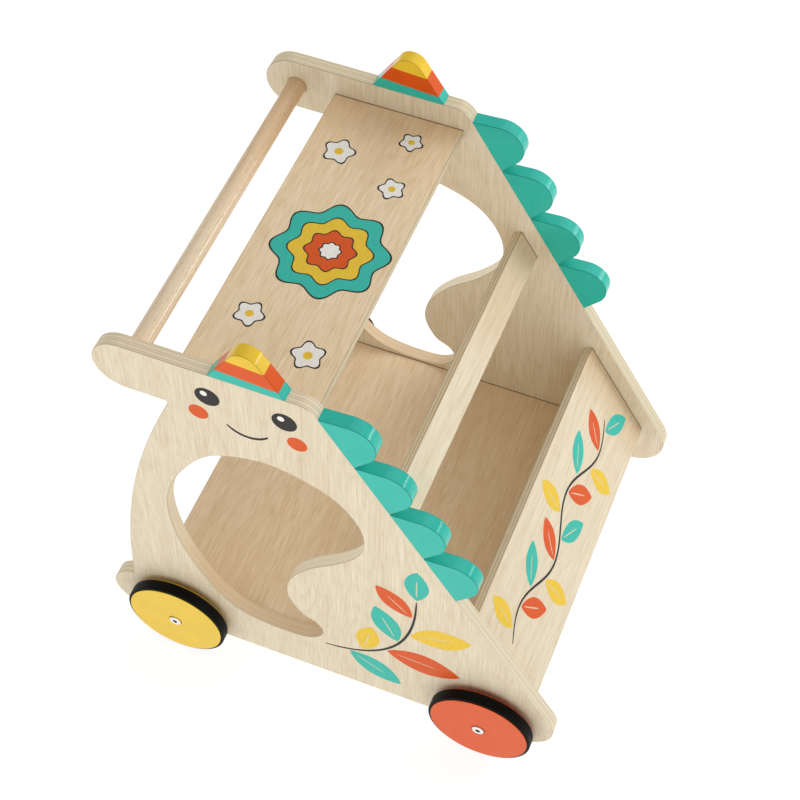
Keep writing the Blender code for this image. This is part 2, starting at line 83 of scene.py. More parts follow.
# The panel's own shape
SLOPE = math.radians(30.4)  # front edge, measured from upright
CREST_RADIUS = 16 * MM
NOSE_RADIUS = 32 * MM
FOOT_RADIUS = 27 * MM
FOOT_STEP = 22 * MM
ARM_DEPTH = 50 * MM
ARM_REACH = 39 * MM
ARM_CORNER = 21 * MM
REAR_EDGE_BULGE = 15 * MM
CORNER_RADIUS = 3 * MM
CUTOUT_TOP_RAIL = 91 * MM
CUTOUT_BOTTOM = 48 * MM
CUTOUT_REAR_SET = 3 * MM
CUTOUT_FRONT_STILE = 45 * MM
CUTOUT_FOREMOST = 0.745  # share of its height where it reaches furthest forward
# Points round the cut-out, as shares of its length and height
CUTOUT_SHAPE = np.array([
    0.51 + 1.00j, 0.27 + 0.94j, 0.11 + 0.80j, 0.02 + 0.65j, 0.00 + 0.52j, 0.03 + 0.37j,
    0.10 + 0.23j, 0.20 + 0.105j, 0.31 + 0.03j, 0.46 + 0.00j, 0.64 + 0.00j, 0.73 + 0.03j,
    0.765 + 0.08j, 0.735 + 0.125j, 0.65 + 0.165j, 0.59 + 0.26j, 0.615 + 0.365j, 0.72 + 0.47j,
    0.87 + 0.565j, 0.97 + 0.655j, 1.00 + 0.745j, 0.965 + 0.84j, 0.86 + 0.93j, 0.69 + 0.985j,
])

# Joints
GLUE_GAP = 0.3 * MM
GLUE_BITE = 0.4 * MM  # how far a glued scale or horn sinks into the panel's eased rim
GLUE_WIDTH = 0.7 * MM  # of the line of glue that shows at a joint
GLUE_LAP = 0.1 * MM  # how far the glue round the handle bar reaches into it
RUNNING_GAP = 0.3 * MM
FRONT_HEEL = 0.8 * MM  # added to the front board's lower edge, to close the gap over the floor

# Scales and horns
SCALE_COUNT = 4
SCALE_START = 11.7 * MM
SCALE_PITCH = 54 * MM
SCALE_REACH = 45 * MM
SCALE_RISE = 1.7 * MM
SCALE_TIP = 0.436  # radius of its tip, as a share of the pitch's height
SCALE_RADIUS = SCALE_TIP * SCALE_PITCH * math.cos(SLOPE)
HORN_BASE = 61.6 * MM
HORN_TIP_RADIUS = 12.5 * MM
HORN_BANDS = (399.8 * MM, 415 * MM)  # heights where the colour changes, from the panel's bottom edge
HORN_TILT = 0.07  # how steeply the bands fall to the front

# Wheels. Sizes along the axle are counted from the panel's outer face
STANDOFF = 4 * MM
DISC_FACE = 16 * MM
TYRE_RADIUS = 45.5 * MM
TYRE_DEPTH = 4 * MM
TYRE_FRONT = 15.2 * MM
TYRE_REAR = 5.4 * MM
MOULD_LINE_WIDTH = 0.8 * MM
MOULD_LINE_DEPTH = 0.25 * MM
DISC_RADIUS = 43 * MM
DISC_CHAMFER = 0.4 * MM
FLANGE_RADIUS = 43.2 * MM
FLANGE_CHAMFER = 0.3 * MM
BOLT_RADIUS = 3 * MM
BOLT_IN_PANEL = 11 * MM
BOLT_HEAD_RADIUS = 5.3 * MM
BOLT_HEAD_HEIGHT = 3.1 * MM
BOLT_TOP = 17.4 * MM
SOCKET_WIDTH = 4 * MM
SOCKET_DEPTH = 1.8 * MM
SOCKET_CHAMFER = 0.25 * MM
SOCKET_POINT = 0.4 * MM  # depth of the drill's point below the socket's flats
SPACER_RADIUS = 8 * MM
SPACER_CHAMFER = 0.3 * MM
NUT_BARREL_RADIUS = 4.4 * MM
NUT_BARREL_LENGTH = 9.5 * MM
NUT_FLANGE_RADIUS = 9 * MM
NUT_FLANGE_THICKNESS = 1.5 * MM
NUT_CHAMFER = 0.4 * MM

# Finishing
EASED = 0.5 * MM  # the rounding of sawn edges
ARC_STEP = math.radians(4)
FILM_THICKNESS = 0.12 * MM  # of a print or a line of glue
PRINT_BITE = 0.02 * MM  # how far a print sinks into the wood, so that no gap shows
STEM_WIDTH = 2.4 * MM  # of a printed stem
MIDRIB_WIDTH = 1.1 * MM  # of a printed leaf
LEAF_STALK = 3 * MM  # from a stem's middle to a leaf
# Where on the sheet of veneer each piece was cut, in metres across and along the grain
GRAIN = {
    "left": 0.31 + 0.12j, "right": 1.27 + 0.63j, "tray_board": 0.17 + 0.45j,
    "floor_board": 0.86 + 1.31j, "cross_slat": 1.52 + 0.22j, "front_board": 2.13 + 0.77j,
}

OUTWARD = complex(math.cos(SLOPE), math.sin(SLOPE))  # square to the sloped front edge
DOWNHILL = complex(math.sin(SLOPE), -math.cos(SLOPE))  # along the sloped front edge
NOSE = complex(WHEELBASE + NOSE_REACH - NOSE_RADIUS, NOSE_RADIUS)
CREST_X = NOSE.real + (NOSE_RADIUS - (PANEL_HEIGHT - NOSE_RADIUS) * OUTWARD.imag) / OUTWARD.real
CREST = complex(CREST_X, PANEL_HEIGHT)  # where the top edge and the sloped edge would meet


# Outlines


def arc(centre, radius, start, end, step=ARC_STEP):
    """Points at centre + radius e^(ia), with a running evenly from start to end."""
    count = max(2, math.ceil(abs(end - start) / step))
    return centre + radius * np.exp(1j * np.linspace(start, end, count + 1))


def circle(centre, radius):
    """A whole circle, without its first point again at the end."""
    return arc(centre, radius, 0, 2 * math.pi, math.radians(7.5))[:-1]


def bowed(start, end, bulge):
    """The arc from start to end that bulges to the right.

    Its radius is (half^2 + bulge^2) / (2 bulge), with half the chord as half."""
    half = abs(end - start) / 2
    radius = (half**2 + bulge**2) / (2 * bulge)
    right = -1j * (end - start) / (2 * half)
    centre = (start + end) / 2 - (radius - bulge) * right
    spread = math.asin(half / radius)
    return centre + radius * right * np.exp(1j * np.linspace(-spread, spread, 24))


def rounded(before, corner, after, radius):
    """The arc of that radius that touches both runs of a corner: its centre is on their bisector."""
    ways = np.array([before - corner, after - corner])
    ways /= abs(ways)
    half = abs(np.angle(ways[1] / ways[0])) / 2
    centre = corner + ways.sum() / abs(ways.sum()) * radius / math.sin(half)
    ends = corner + ways * radius / math.tan(half) - centre
    start = np.angle(ends[0])
    return arc(centre, radius, start, start + np.angle(ends[1] / ends[0]), math.radians(12))


def smooth_loop(anchors, steps):
    """A closed cubic curve through the anchors, with half the step between its neighbours as each slope."""
    t = np.linspace(0, 1, steps, endpoint=False)[:, None]
    weights = (-t + 2 * t**2 - t**3, 2 - 5 * t**2 + 3 * t**3, t + 4 * t**2 - 3 * t**3, t**3 - t**2)
    spans = sum(weight / 2 * np.roll(anchors, 1 - k) for k, weight in enumerate(weights))
    return spans.T.ravel()


def touching(outside, centre, radius, turn=-1):
    """Where a line from outside touches a circle, on its left for turn 1 and on its right for -1.

    The line is the way to the centre turned by asin(radius / distance)."""
    way = centre - outside
    lean = math.asin(radius / abs(way))
    return outside + way * math.cos(lean) * np.exp(1j * turn * lean)


def on_slope(down, inset):
    """The point that far down the sloped edge from the crest and that far behind it."""
    return CREST + down * DOWNHILL - inset * OUTWARD


def panel_outline():
    """Nose, crest, arm end, corner under the arm, bowed rear edge and foot, anticlockwise."""
    arm_radius = ARM_DEPTH / 2
    arm = complex(arm_radius - ARM_REACH, PANEL_HEIGHT - arm_radius)
    crest_x = CREST.real - CREST_RADIUS * (1 - OUTWARD.imag) / OUTWARD.real
    foot = complex(FOOT_RADIUS - FOOT_REACH, FOOT_RADIUS)
    step_angle = math.acos((FOOT_STEP - FOOT_RADIUS) / FOOT_RADIUS)
    corner = complex(ARM_CORNER, PANEL_HEIGHT - ARM_DEPTH)
    rear = bowed(corner, foot + FOOT_RADIUS * np.exp(1j * step_angle), REAR_EDGE_BULGE)
    arm_arc = arc(arm, arm_radius, math.pi / 2, 1.5 * math.pi)
    foot_arc = arc(foot, FOOT_RADIUS, step_angle, 1.5 * math.pi)
    return np.concatenate([
        arc(NOSE, NOSE_RADIUS, -math.pi / 2, SLOPE),
        arc(complex(crest_x, PANEL_HEIGHT - CREST_RADIUS), CREST_RADIUS, SLOPE, math.pi / 2),
        arm_arc,
        rounded(arm_arc[-1], corner, rear[1], CORNER_RADIUS),
        rear[1:-1],
        rounded(rear[-2], rear[-1], foot_arc[1], CORNER_RADIUS),
        foot_arc[2:],
    ])


def cutout_outline():
    """The cut-out's points scaled to the space between the rails and stiles, joined by a smooth curve."""
    height = PANEL_HEIGHT - CUTOUT_TOP_RAIL - CUTOUT_BOTTOM
    foremost = CUTOUT_BOTTOM + CUTOUT_FOREMOST * height
    slope_x = CREST.real + (PANEL_HEIGHT - foremost) * math.tan(SLOPE)
    length = slope_x - CUTOUT_FRONT_STILE / OUTWARD.real - CUTOUT_REAR_SET
    corner = complex(CUTOUT_REAR_SET, CUTOUT_BOTTOM)
    return smooth_loop(corner + CUTOUT_SHAPE.real * length + 1j * CUTOUT_SHAPE.imag * height, 10)


def scale_outline(index):
    """Straight from the upper and the lower root into a round tip."""
    upper = on_slope(SCALE_START + index * SCALE_PITCH, GLUE_BITE)
    lower = on_slope(SCALE_START + (index + 1) * SCALE_PITCH - GLUE_GAP, GLUE_BITE)
    centre = upper + complex(SCALE_REACH - SCALE_RADIUS, SCALE_RISE - SCALE_RADIUS)
    start = np.angle(touching(lower, centre, SCALE_RADIUS) - centre)
    end = np.angle(touching(upper, centre, SCALE_RADIUS, 1) - centre)
    return np.concatenate([[upper, lower], arc(centre, SCALE_RADIUS, start, end)])


def horn_outline():
    """A triangle whose sides run up into a round tip."""
    low, high = box("horn_left") - PANEL_ORIGIN
    foot = complex((low[0] + high[0]) / 2, PANEL_HEIGHT - GLUE_BITE)
    centre = complex(foot.real, high[2] - HORN_TIP_RADIUS)
    start = np.angle(touching(foot + HORN_BASE / 2, centre, HORN_TIP_RADIUS) - centre)
    tip = arc(centre, HORN_TIP_RADIUS, start, math.pi - start)
    return np.concatenate([[foot - HORN_BASE / 2, foot + HORN_BASE / 2], tip])


def rectangle(across, along):
    """A rectangle about zero, by its two lengths."""
    return np.array([-1, 1, 1, -1]) * across / 2 + np.array([-1, -1, 1, 1]) * along / 2 * 1j


def ribbon(spine, width):
    """A band along a line of points, half a width to each side.

    It narrows to its ends as the fourth root of 4 s (1 - s), with s from 0 to 1, but not to a point."""
    s = np.linspace(0, 1, len(spine))
    way = np.gradient(spine)
    part = 0.5j * width * way / abs(way) * np.sqrt(np.sqrt(np.maximum(4 * s * (1 - s), 0.02)))
    return np.concatenate([spine - part, (spine + part)[::-1]])


def leaf(root, tip, width, blunt=0.8):
    """Two sides that part from the line root to tip by width / 2 times sin(pi s)^blunt, with s from 0 to 1.
    A bare midrib runs between them."""
    s = np.linspace(0, 1, 17)
    part = 0.5j * width * (tip - root) / abs(tip - root) * np.sin(math.pi * s) ** blunt
    spine = root + s * (tip - root)
    return [np.concatenate([spine - part, (spine + part)[-2:0:-1]]), ribbon(spine[2:12], MIDRIB_WIDTH)]


def blossom(centre, radius, lobes, depth, turn):
    """A lobed circle: centre + radius (1 + depth cos(lobes a)) e^(i(a + turn))."""
    a = np.linspace(0, 2 * math.pi, 24 * lobes, endpoint=False)
    return centre + radius * (1 + depth * np.cos(lobes * a)) * np.exp(1j * (a + turn))


# Meshes


def put_mesh(name, points, faces, uvs, slots, finishes):
    """A piece from arrays of face corners, their UVs and their finish, turned to face outwards.

    The faces are reversed where the volume, the sum of p . (q x r) / 6 over the triangles, is negative."""
    fans = np.concatenate([f[:, [0, k, k + 1]] for f in faces for k in range(1, f.shape[1] - 1)])
    p, q, r = np.moveaxis((points - points.mean(axis=0))[fans], 1, 0)
    if (p * np.cross(q, r)).sum() < 0:
        faces = [f[:, ::-1] for f in faces]
        uvs = [uv[:, ::-1] for uv in uvs]
    mesh = bpy.data.meshes.new(name)
    mesh.from_pydata(points.tolist(), [], sum((f.tolist() for f in faces), []))
    mesh.uv_layers.new(name="grain").data.foreach_set("uv", np.concatenate([uv.ravel() for uv in uvs]))
    mesh.polygons.foreach_set("material_index", np.concatenate(slots).astype(np.int32))
    for finish in finishes:
        mesh.materials.append(finish)
    mesh.shade_smooth()
    mesh.set_sharp_from_angle(angle=math.radians(20))
    piece = bpy.data.objects.new(name, mesh)
    bpy.context.scene.collection.objects.link(piece)
    return piece


def mitre(loop):
    """The step to the left of a loop's way that keeps both edges at each point one unit off.

    It is the sum of their two square directions over 1 + their cosine."""
    ahead = np.roll(loop, -1) - loop
    ahead = 1j * ahead / abs(ahead)
    behind = np.roll(ahead, 1)
    return (ahead + behind) / (1 + (ahead * behind.conj()).real)


def turning(loop):
    """Twice a loop's area, positive where it runs anticlockwise."""
    return (loop.conj() * np.roll(loop, -1)).imag.sum()


def plate(name, shapes, place, thickness, finishes, eased=EASED, grain=0j):
    """A flat piece made of shapes, each an outline and its holes.

    Each loop carries the section of an edge eased by a quarter round: at angle a it stands eased (1 - sin a)
    inside the outline and eased (1 - cos a) off the face. The first and last rings are filled. UVs are in
    metres: across and along the grain on the faces, through the plies and along the edge on the edges. The
    finishes are the faces', the eased rims', the outer edges' and the holes'. The last one given stands for
    those left out."""
    origin, across, along, through = place
    a = np.linspace(0, math.pi / 2, 3) if eased else np.zeros(1)
    inset = eased * (1 - np.sin(a))
    rise = eased * (1 - np.cos(a))
    inset = np.concatenate([inset, inset[::-1]])[:, None]
    rise = np.concatenate([rise, thickness - rise[::-1]])
    points, walls, wall_uvs, wall_slots, caps, cap_uvs = [], [], [], [], [], []
    last = len(finishes) - 1
    start = 0
    for loops in shapes:
        rims, bottom, top = [], [], []
        for number, loop in enumerate(loops):
            loop = loop if (turning(loop) > 0) == (number == 0) else loop[::-1]
            flat = loop + inset * mitre(loop)
            placed = origin + flat.real[..., None] * across + flat.imag[..., None] * along
            points.append((placed + rise[:, None, None] * through).reshape(-1, 3))
            ring = start + np.arange(flat.size).reshape(flat.shape)
            after = np.roll(ring, -1, axis=1)
            walls.append(np.stack([ring[:-1], after[:-1], after[1:], ring[1:]], -1).reshape(-1, 4))
            run = np.append(0, np.cumsum(abs(np.roll(loop, -1) - loop)))
            u = np.stack([rise[:-1], rise[:-1], rise[1:], rise[1:]], -1)[:, None]
            v = np.stack([run[:-1], run[1:], run[1:], run[:-1]], -1) + grain.imag
            wall_uvs.append(np.stack(np.broadcast_arrays(u, v), -1).reshape(-1, 4, 2))
            row_slots = np.full(len(rise) - 1, min(1, last))
            row_slots[len(a) - 1] = min(3 if number else 2, last)
            wall_slots.append(np.repeat(row_slots, len(loop)))
            rims.append(flat[0])
            bottom.append(ring[0])
            top.append(ring[-1])
            start += flat.size
        rim = np.concatenate(rims)
        zeros = [np.column_stack([r.real, r.imag, 0 * r.real]).tolist() for r in rims]
        fill = np.array(tessellate_polygon(zeros))
        p, q, r = rim[fill].T
        fill = np.where((((q - p).conj() * (r - p)).imag > 0)[:, None], fill, fill[:, ::-1])
        caps += [np.concatenate(bottom)[fill[:, ::-1]], np.concatenate(top)[fill]]
        flat_uv = np.column_stack([rim.real + grain.real, rim.imag + grain.imag])
        cap_uvs += [flat_uv[fill[:, ::-1]], flat_uv[fill]]
    walls, caps = np.concatenate(walls), np.concatenate(caps)
    slots = [np.concatenate(wall_slots), np.zeros(len(caps))]
    uvs = [np.concatenate(wall_uvs), np.concatenate(cap_uvs)]
    return put_mesh(name, np.concatenate(points), [walls, caps], uvs, slots, finishes)


def turned(name, radius, height, centre, outward, finishes, sides=96, inside=0):
    """A round piece about Y: point (x, z) = centre + radius (cos a, sin a) at y = centre + outward height.

    The section closes on itself, or on the axis where its first and last radius are zero. A radius may also
    be an array over the angles, for a section that isn't round. The last rows, as many as inside, take the
    second finish."""
    a = np.arange(sides) * 2 * math.pi / sides
    radius = np.stack([np.broadcast_to(r, sides) for r in radius])
    height = np.broadcast_to(np.array(height)[:, None], radius.shape)
    spokes = np.stack([radius * np.cos(a), outward * height, radius * np.sin(a)], -1)
    points = (centre + spokes).reshape(-1, 3)
    ring = np.arange(radius.size).reshape(radius.shape)
    on_axis = radius[0, 0] == 0
    ring[0] = ring[0, 0] if on_axis else ring[0]
    ring[-1] = ring[-1, 0] if on_axis else ring[-1]
    lower, upper = (ring[:-1], ring[1:]) if on_axis else (ring, np.roll(ring, -1, axis=0))
    quads = np.stack([lower, np.roll(lower, -1, axis=1), np.roll(upper, -1, axis=1), upper], -1)
    row = np.arange(len(quads))[:, None].repeat(sides, axis=1)
    if on_axis:
        fans = [quads[0][:, [0, 2, 3]], quads[-1][:, [0, 1, 2]]]
        faces = [quads[1:-1].reshape(-1, 4), *fans]
        rows = [row[1:-1].ravel(), row[0], row[-1]]
        kept, back = np.unique(np.concatenate([f.ravel() for f in faces]), return_inverse=True)
        points = points[kept]
        cuts = np.cumsum([f.size for f in faces])[:-1]
        faces = [part.reshape(f.shape) for part, f in zip(np.split(back.ravel(), cuts), faces)]
    else:
        faces = [quads.reshape(-1, 4)]
        rows = [row.ravel()]
    uvs = [np.zeros((*f.shape, 2)) for f in faces]
    slots = [r >= len(quads) - inside for r in rows]
    return put_mesh(name, points, faces, uvs, slots, finishes)


def settle(piece, slot, *nodes, body="frame"):
    """Says which body a piece rides on and which CAD nodes it stands for, and hides those nodes. The slot,
    which of the record's finishes it takes, if any, is not used."""
    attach(piece, body)
    if nodes:
        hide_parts(*nodes)


# Finishes


def linear(colour):
    """An sRGB hex colour as linear red, green, blue and alpha."""
    c = np.array([int(colour[k:k + 2], 16) for k in (1, 3, 5)]) / 255
    return (*np.where(c > 0.04045, ((c + 0.055) / 1.055) ** 2.4, c / 12.92).tolist(), 1.0)


def node(tree, kind, inputs=None, **settings):
    """Adds a shader node. An input is a value, or another node's output, which is linked."""
    made = tree.nodes.new("ShaderNode" + kind)
    for key, value in settings.items():
        setattr(made, key, value)
    for key, value in (inputs or {}).items():
        if isinstance(value, bpy.types.NodeSocket):
            tree.links.new(value, made.inputs[key])
        else:
            made.inputs[key].default_value = value
    return made


def new_finish(name, roughness, metallic=0.0):
    """A material with its node tree and shader."""
    finish = bpy.data.materials.new(name)
    finish.use_nodes = True
    shader = finish.node_tree.nodes["Principled BSDF"]
    shader.inputs["Roughness"].default_value = roughness
    shader.inputs["Metallic"].default_value = metallic
    return finish, finish.node_tree, shader


def tinted_along(tree, colour, graded_tint):
    """Multiplies a colour by a tint that grows from nothing to full between two reaches along a way.

    The reach of a point p is p . way, and a stain is the way, the tint and the two reaches."""
    # Most of these tints are painted shade; the one on the cut-outs' edges darkens them towards the bottom
    way, tint, start, full = graded_tint
    place = node(tree, "TexCoord").outputs["Object"]
    reach = node(tree, "VectorMath", {0: place, 1: tuple(way)}, operation="DOT_PRODUCT").outputs["Value"]
    share = {"Value": reach, "From Min": start, "From Max": full}
    share = node(tree, "MapRange", share, interpolation_type="SMOOTHSTEP").outputs[0]
    mixed = {0: share, 6: colour, 7: linear(tint)}
    return node(tree, "Mix", mixed, data_type="RGBA", blend_type="MULTIPLY").outputs[2]


def mottled(tree, colour, field, span, depths):
    """Multiplies a colour by a depth that goes from the first to the second as a field goes over a span."""
    depth = {"From Min": span[0], "From Max": span[1], "To Min": depths[0], "To Max": depths[1]}
    depth = node(tree, "MapRange", {"Value": field, **depth}).outputs[0]
    mixed = {0: 1.0, 6: colour, 7: depth}
    return node(tree, "Mix", mixed, data_type="RGBA", blend_type="MULTIPLY").outputs[2]


def streaks(tree, place, sizes, detail):
    """A noise with streaks of these sizes: width and length on flat UVs, or the sizes along X, Y and Z."""
    flat = len(sizes) == 2
    scale = [1 / size for size in sizes] + [1] * flat
    place = node(tree, "Mapping", {"Vector": place, "Scale": scale}).outputs[0]
    noise = {"Vector": place, "Scale": 1, "Detail": detail}
    return node(tree, "TexNoise", noise, noise_dimensions="2D" if flat else "3D").outputs[0]


def dress(tree, shader, colour, relief, strength, depth=0.1 * MM):
    """Gives a shader its colour and a relief of that depth."""
    tree.links.new(colour, shader.inputs["Base Color"])
    bump = node(tree, "Bump", {"Height": relief, "Strength": strength, "Distance": depth}).outputs[0]
    tree.links.new(bump, shader.inputs["Normal"])


def birch_veneer(name, pale, dark, streak=60 * MM, graded_tint=None):
    """Rotary-cut birch under matt lacquer: soft bands, a faint growth figure, fibres as long as the streak,
    and short pores."""
    finish, tree, shader = new_finish(name, 0.5)
    grain = node(tree, "UVMap", uv_map="grain").outputs["UV"]
    # Level lines of a slow field are the growth rings that the peeling knife cut
    field = streaks(tree, grain, (60 * MM, 400 * MM), 1)
    rings = node(tree, "Math", {0: field, 1: 17}, operation="MULTIPLY").outputs[0]
    figure = node(tree, "Math", {0: rings}, operation="FRACT").outputs[0]
    figure = {"Value": figure, "From Min": 0.4, "From Max": 0.97}
    figure = node(tree, "MapRange", figure, interpolation_type="SMOOTHSTEP").outputs[0]
    # The log's colour changes in bands
    band = streaks(tree, grain, (14 * MM, 250 * MM), 2)
    band = node(tree, "MapRange", {"Value": band, "From Min": 0.3, "From Max": 0.7}).outputs[0]
    # The fibres are coarser than the real ones of 0.1 mm, so that they show
    fibre = streaks(tree, grain, (0.9 * MM, streak), 1.5)
    fibre = node(tree, "MapRange", {"Value": fibre, "From Min": 0.3, "From Max": 0.7}).outputs[0]
    pore = streaks(tree, grain, (0.7 * MM, 16 * MM), 0)
    pore = node(tree, "MapRange", {"Value": pore, "From Min": 0.55, "From Max": 0.8}).outputs[0]
    share = 0.0
    for layer, weight in ((figure, 0.16), (band, 0.2), (fibre, 0.5), (pore, 0.4)):
        share = node(tree, "Math", {0: layer, 1: weight, 2: share}, operation="MULTIPLY_ADD").outputs[0]
    colour = node(tree, "Mix", {0: share, 6: linear(pale), 7: linear(dark)}, data_type="RGBA").outputs[2]
    colour = tinted_along(tree, colour, graded_tint) if graded_tint else colour
    dress(tree, shader, colour, fibre, 0.2)
    sheen = node(tree, "MapRange", {"Value": fibre, "To Min": 0.44, "To Max": 0.58}).outputs[0]
    tree.links.new(sheen, shader.inputs["Roughness"])
    return finish


def plywood_edge(name, ply, light, dark, glue, graded_tint=None):
    """Sanded plywood edge: plies of long grain and end grain by turns, with dark glue lines between them.

    The wave goes from 0 in the middle of one ply to 1 in the middle of the next, and back."""
    finish, tree, shader = new_finish(name, 0.6)
    place = node(tree, "UVMap", uv_map="grain").outputs["UV"]
    through = node(tree, "SeparateXYZ", {0: place}).outputs[0]
    shifted = node(tree, "Math", {0: through, 1: ply / 2}, operation="ADD").outputs[0]
    wave = node(tree, "Math", {0: shifted, 1: ply}, operation="PINGPONG").outputs[0]
    wave = node(tree, "Math", {0: wave, 1: ply}, operation="DIVIDE").outputs[0]
    end_ply = node(tree, "MapRange", {"Value": wave, "From Min": 0.42, "From Max": 0.58}).outputs[0]
    off_line = node(tree, "Math", {0: wave, 1: 0.5}, operation="SUBTRACT").outputs[0]
    off_line = node(tree, "Math", {0: off_line}, operation="ABSOLUTE").outputs[0]
    line = {"Value": off_line, "From Min": 0.03, "From Max": 0.12, "To Min": 1, "To Max": 0}
    line = node(tree, "MapRange", line).outputs[0]
    line = node(tree, "Math", {0: line, 1: 0.75}, operation="MULTIPLY").outputs[0]
    fibre = streaks(tree, place, (0.5 * MM, 12 * MM), 2)
    share = node(tree, "Math", {0: fibre, 1: 0.6}, operation="MULTIPLY").outputs[0]
    share = node(tree, "Math", {0: end_ply, 1: 0.6, 2: share}, operation="MULTIPLY_ADD").outputs[0]
    wood = node(tree, "Mix", {0: share, 6: linear(light), 7: linear(dark)}, data_type="RGBA").outputs[2]
    colour = node(tree, "Mix", {0: line, 6: wood, 7: linear(glue)}, data_type="RGBA").outputs[2]
    colour = tinted_along(tree, colour, graded_tint) if graded_tint else colour
    dress(tree, shader, colour, fibre, 0.25)
    return finish


def beech_dowel(name, pale, dark, graded_tint):
    """Turned beech under matt lacquer: straight fibres along the bar and many short dark flecks."""
    finish, tree, shader = new_finish(name, 0.2)
    shader.inputs["Specular IOR Level"].default_value = 0.3
    place = node(tree, "TexCoord").outputs["Object"]
    fibre = streaks(tree, place, (1.2 * MM, 60 * MM, 1.2 * MM), 3)
    fibre = node(tree, "MapRange", {"Value": fibre, "From Min": 0.3, "From Max": 0.7}).outputs[0]
    fleck = streaks(tree, place, (0.8 * MM, 5 * MM, 0.8 * MM), 0)
    fleck = node(tree, "MapRange", {"Value": fleck, "From Min": 0.62, "From Max": 0.74}).outputs[0]
    share = node(tree, "Math", {0: fibre, 1: 0.5}, operation="MULTIPLY").outputs[0]
    share = node(tree, "Math", {0: fleck, 1: 0.4, 2: share}, operation="MULTIPLY_ADD").outputs[0]
    colour = node(tree, "Mix", {0: share, 6: linear(pale), 7: linear(dark)}, data_type="RGBA").outputs[2]
    dress(tree, shader, tinted_along(tree, colour, graded_tint), fibre, 0.15)
    return finish


def satin_paint(name, colour, bands=(), tilt=0.0):
    """Sprayed satin paint on plywood: an even colour, faintly mottled, with the wood's grain just showing.

    Bands are (height, colour) pairs: above that height, on a line that falls by tilt to the front, the
    paint changes to that colour."""
    finish, tree, shader = new_finish(name, 0.16)
    shader.inputs["Specular IOR Level"].default_value = 0.22
    place = node(tree, "TexCoord").outputs["Object"]
    axes = node(tree, "SeparateXYZ", {0: place}).outputs
    base = linear(colour)
    for level, band in bands:
        rise = node(tree, "Math", {0: axes[0], 1: tilt, 2: axes[2]}, operation="MULTIPLY_ADD").outputs[0]
        above = node(tree, "Math", {0: rise, 1: level}, operation="GREATER_THAN").outputs[0]
        base = node(tree, "Mix", {0: above, 6: base, 7: linear(band)}, data_type="RGBA").outputs[2]
    grain = streaks(tree, place, (0.9 * MM, 0.9 * MM, 25 * MM), 2)
    mottle = streaks(tree, place, [16 * MM] * 3, 2)
    blend = node(tree, "Math", {0: grain, 1: 0.35, 2: mottle}, operation="MULTIPLY_ADD").outputs[0]
    toned = mottled(tree, base, blend, (0.45, 0.9), (0.96, 1.03))
    dress(tree, shader, toned, grain, 0.12, 0.08 * MM)
    return finish


def print_ink(name, colour):
    """Screen-printed ink on lacquered veneer: thin and flat, broken a little by the pores of the wood."""
    finish, tree, shader = new_finish(name, 0.5)
    shader.inputs["Specular IOR Level"].default_value = 0.3
    place = node(tree, "UVMap", uv_map="grain").outputs["UV"]
    pore = streaks(tree, place, (0.8 * MM, 9 * MM), 2)
    toned = mottled(tree, linear(colour), pore, (0.35, 0.75), (1.03, 0.9))
    dress(tree, shader, toned, pore, 0.1, 0.05 * MM)
    return finish


def moulded(name, colour, roughness, grit, spread, metallic=0.0, gloss=0.5):
    """Rubber, nylon or metal as it leaves its tool: grit of that size varies the colour, sheen and height."""
    finish, tree, shader = new_finish(name, roughness, metallic)
    shader.inputs["Specular IOR Level"].default_value = gloss
    place = node(tree, "TexCoord").outputs["Object"]
    speck = streaks(tree, place, [grit] * 3, 3)
    toned = mottled(tree, linear(colour), speck, (0.3, 0.7), (1 - spread, 1 + spread))
    dress(tree, shader, toned, speck, 0.15)
    sheen = {"Value": speck, "To Min": roughness * 0.85, "To Max": roughness * 1.15}
    tree.links.new(node(tree, "MapRange", sheen).outputs[0], shader.inputs["Roughness"])
    return finish


TEAL, YELLOW, RED = "#32BCAA", "#EEC633", "#DE5509"
PANEL_PLY, BOARD_PLY = PANEL_THICKNESS / 5, BOARD_THICKNESS / 5
FORWARD = OUTWARD.real * X + OUTWARD.imag * Z  # square to the sloped front edges, in space
SLOPE_REACH = (PANEL_ORIGIN + CREST.real * X + CREST.imag * Z) @ FORWARD
# The cut-outs' edges are darker and warmer towards the bottom. The eased rims are painted darker, as shade,
# but for those on the sloped edges, and the plies on these edges are painted a little darker and cooler, as
# shade.
# Some wood is painted darker and browner to the left, as shade near the left panel
SILL = (Z, "#E9D8CA", PANEL_LOW[2] + 185 * MM, PANEL_LOW[2] + 80 * MM)
# Painted shade: the plies on the sloped edges
SLOPE_EDGE_SHADE = (FORWARD, "#F4F8FB", SLOPE_REACH - 2.5 * MM, SLOPE_REACH - 1 * MM)
# Painted shade: the eased rims darken away from the sloped edges
RIM_SHADE = (FORWARD, "#D8D4CA", SLOPE_REACH - 1.2 * MM, SLOPE_REACH - 2.5 * MM)
